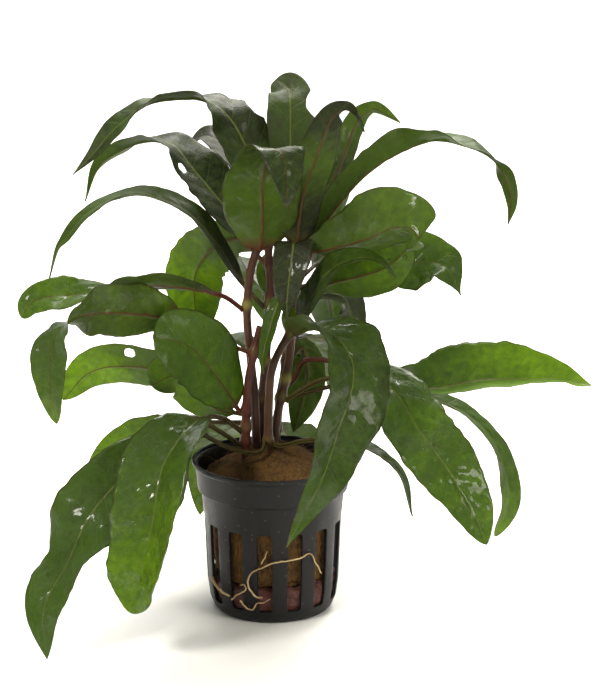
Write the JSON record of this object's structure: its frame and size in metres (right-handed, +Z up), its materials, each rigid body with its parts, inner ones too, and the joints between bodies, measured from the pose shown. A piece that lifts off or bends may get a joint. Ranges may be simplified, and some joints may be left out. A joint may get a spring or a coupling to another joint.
{
  "type": "potted hygrophila",
  "caption": "Aquarium stem plant with long pointed leaves on reddish stems, in a slotted round net pot with a mineral wool plug.",
  "frame": {"origin": "middle of the pot's flat base, on the surface that it stands on", "axes": "+Z up along the pot's axis, -Y towards the front of the plant, +X to the right as seen from the front, along which the leaves spread widest"},
  "size_m": [0.1884, 0.1449, 0.1771],
  "materials": {
    "pot_plastic": "fine matte, dark slate grey",
    "mineral_wool": "wet brown fibres",
    "red_clay": "unglazed, damp",
    "stem_skin": "smooth, slightly wet",
    "leaf_blade": "semi-gloss green, reddish midrib below",
    "young_leaf": "semi-gloss light green",
    "root_skin": "matte cream"
  },
  "bodies": {
    "root": {"net_pot": "pot_plastic", "rockwool_plug": "mineral_wool", "clay_layer": "red_clay", "stem_left_red": "stem_skin", "stem_left_dark": "stem_skin", "stem_front_short": "stem_skin", "stem_middle": "stem_skin", "stem_tall": "stem_skin", "stem_right": "stem_skin", "leaf_top_left_arching": "leaf_blade", "leaf_top_left_holed": "leaf_blade", "leaf_top_left_rear": "leaf_blade", "leaf_left_slender": "leaf_blade", "leaf_top_folded": "leaf_blade", "leaf_top_upright": "leaf_blade", "leaf_top_right_curled": "leaf_blade", "leaf_top_right_small": "leaf_blade", "leaf_top_right_arching": "leaf_blade", "leaf_right_rounded": "leaf_blade", "leaf_right_nibbled": "leaf_blade", "leaf_right_pointed": "leaf_blade", "leaf_right_slender": "leaf_blade", "leaf_left_level": "leaf_blade", "leaf_left_drooping": "leaf_blade", "leaf_left_broad": "leaf_blade", "leaf_left_backlit": "leaf_blade", "leaf_left_short": "leaf_blade", "leaf_left_behind": "leaf_blade", "leaf_low_left_rear": "leaf_blade", "leaf_low_left_long": "leaf_blade", "leaf_low_left_glossy": "leaf_blade", "leaf_low_left_hidden": "leaf_blade", "leaf_front_hanging": "leaf_blade", "leaf_right_long_level": "leaf_blade", "leaf_low_right_glossy": "leaf_blade", "leaf_low_right_slender": "leaf_blade", "leaf_low_right_thin": "leaf_blade", "leaf_right_shaded": "leaf_blade", "leaf_right_behind": "leaf_blade", "leaf_center_hanging": "leaf_blade", "leaf_center_narrow": "leaf_blade", "leaf_center_young": "young_leaf", "leaf_center_pale": "young_leaf", "leaf_back_top_left": "leaf_blade", "leaf_back_top_right": "leaf_blade", "leaf_back_top_small": "leaf_blade", "leaf_back_middle": "leaf_blade", "leaf_back_right_high": "leaf_blade", "leaf_back_right_middle": "leaf_blade", "leaf_back_right_low": "leaf_blade", "leaf_back_left_middle": "leaf_blade", "leaf_back_left_low": "leaf_blade", "leaf_back_low": "leaf_blade", "root_long": "root_skin", "root_branch": "root_skin", "root_left": "root_skin", "root_loop": "root_skin", "root_bundle": "root_skin"}
  },
  "joints": []
}
